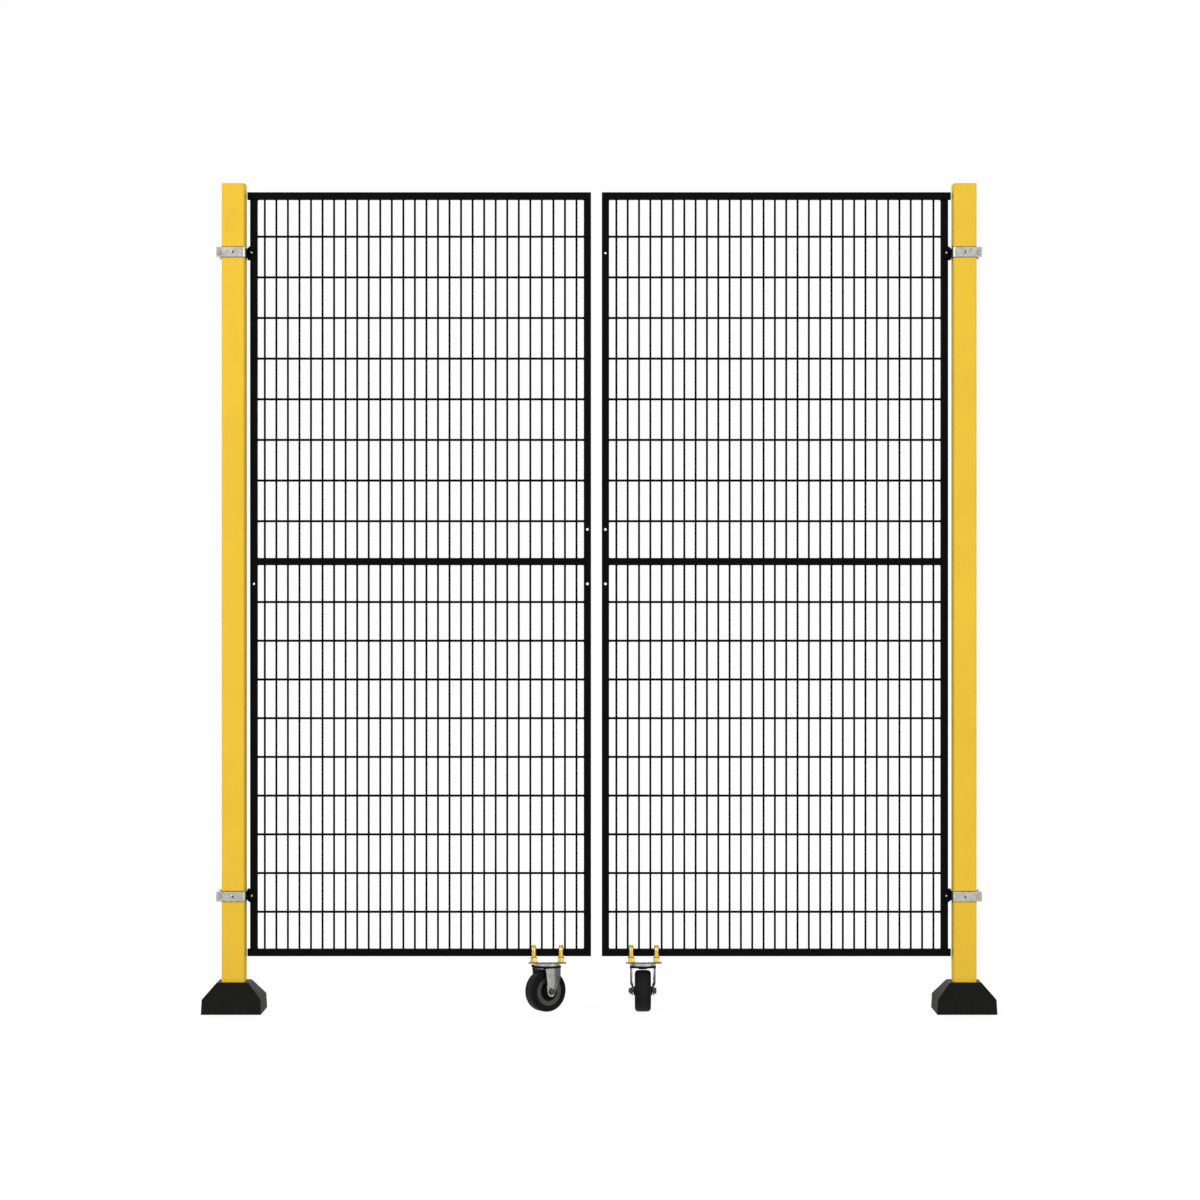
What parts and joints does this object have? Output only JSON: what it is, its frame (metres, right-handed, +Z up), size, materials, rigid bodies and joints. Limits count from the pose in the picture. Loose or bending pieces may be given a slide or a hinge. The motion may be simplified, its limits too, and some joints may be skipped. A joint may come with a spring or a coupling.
{
  "type": "machine guard fence swing gate",
  "caption": "Machine guard fence gate: square posts on covered feet carry welded mesh leaves on clamped lift-off hinges, and each leaf rolls on a swivel caster near the middle.",
  "frame": {"origin": "centre of the left post's base plate, on its underside, at floor level", "axes": "+X from the left post to the right post as seen from the front, +Y away from the front (the way the leaves open), +Z up"},
  "size_m": [2.06, 0.156, 2.157],
  "materials": {
    "post_yellow": "satin yellow powder coat",
    "cover_black": "moulded matt black",
    "zinc_strap": "bright zinc plating",
    "zinc_bolt": "zinc plating",
    "hinge_black": "satin black powder coat",
    "frame_black": "satin black powder coat",
    "cap_black": "moulded black",
    "mesh_black": "satin black powder coat",
    "yellow_zinc": "yellow passivated zinc",
    "zinc_plate": "zinc plating",
    "zinc_fork": "zinc plating",
    "rim_black": "moulded dark grey",
    "tyre_black": "black rubber"
  },
  "bodies": {
    "posts": {"left_post": "post_yellow", "left_post_cap": "post_yellow", "left_base_plate": "post_yellow", "left_foot_cover": "cover_black", "left_clamp_straps": "zinc_strap", "left_clamp_bolts": "zinc_bolt", "left_hinge_knuckles": "hinge_black", "right_post": "post_yellow", "right_post_cap": "post_yellow", "right_base_plate": "post_yellow", "right_foot_cover": "cover_black", "right_clamp_straps": "zinc_strap", "right_clamp_bolts": "zinc_bolt", "right_hinge_knuckles": "hinge_black"},
    "left_leaf": {"left_hinge_stile": "frame_black", "left_meeting_stile": "frame_black", "left_top_rail": "frame_black", "left_middle_rail": "frame_black", "left_bottom_rail": "frame_black", "left_rail_caps": "cap_black", "left_upper_mesh": "mesh_black", "left_lower_mesh": "mesh_black", "left_hinge_brackets": "hinge_black", "left_caster_ubolts": "yellow_zinc", "left_caster_plate": "zinc_plate"},
    "right_leaf": {"right_hinge_stile": "frame_black", "right_meeting_stile": "frame_black", "right_top_rail": "frame_black", "right_middle_rail": "frame_black", "right_bottom_rail": "frame_black", "right_rail_caps": "cap_black", "right_upper_mesh": "mesh_black", "right_lower_mesh": "mesh_black", "right_hinge_brackets": "hinge_black", "right_caster_ubolts": "yellow_zinc", "right_caster_plate": "zinc_plate"},
    "left_caster": {"left_caster_fork": "zinc_fork", "left_caster_axle": "zinc_bolt"},
    "left_wheel": {"left_wheel_rim": "rim_black", "left_wheel_tyre": "tyre_black"},
    "right_caster": {"right_caster_fork": "zinc_fork", "right_caster_axle": "zinc_bolt"},
    "right_wheel": {"right_wheel_rim": "rim_black", "right_wheel_tyre": "tyre_black"}
  },
  "joints": [
    {"name": "left_leaf_hinge", "type": "hinge", "parent": "posts", "child": "left_leaf", "pos_m": [0.045, 0.0205, 1.14], "axis": [0, 0, 1], "range_deg": [0, 120]},
    {"name": "right_leaf_hinge", "type": "hinge", "parent": "posts", "child": "right_leaf", "pos_m": [1.859, 0.0205, 1.14], "axis": [0, 0, -1], "range_deg": [0, 120]},
    {"name": "left_caster_swivel", "type": "hinge", "parent": "left_leaf", "child": "left_caster", "pos_m": [0.817, 0, 0.118], "axis": [0, 0, 1], "continuous": true},
    {"name": "left_wheel_spin", "type": "hinge", "parent": "left_caster", "child": "left_wheel", "pos_m": [0.81208, -0.00344, 0.054], "axis": [0.5736, -0.8192, 0], "continuous": true},
    {"name": "right_caster_swivel", "type": "hinge", "parent": "right_leaf", "child": "right_caster", "pos_m": [1.066, 0, 0.118], "axis": [0, 0, 1], "continuous": true},
    {"name": "right_wheel_spin", "type": "hinge", "parent": "right_caster", "child": "right_wheel", "pos_m": [1.066, -0.006, 0.054], "axis": [1, 0, 0], "continuous": true}
  ]
}
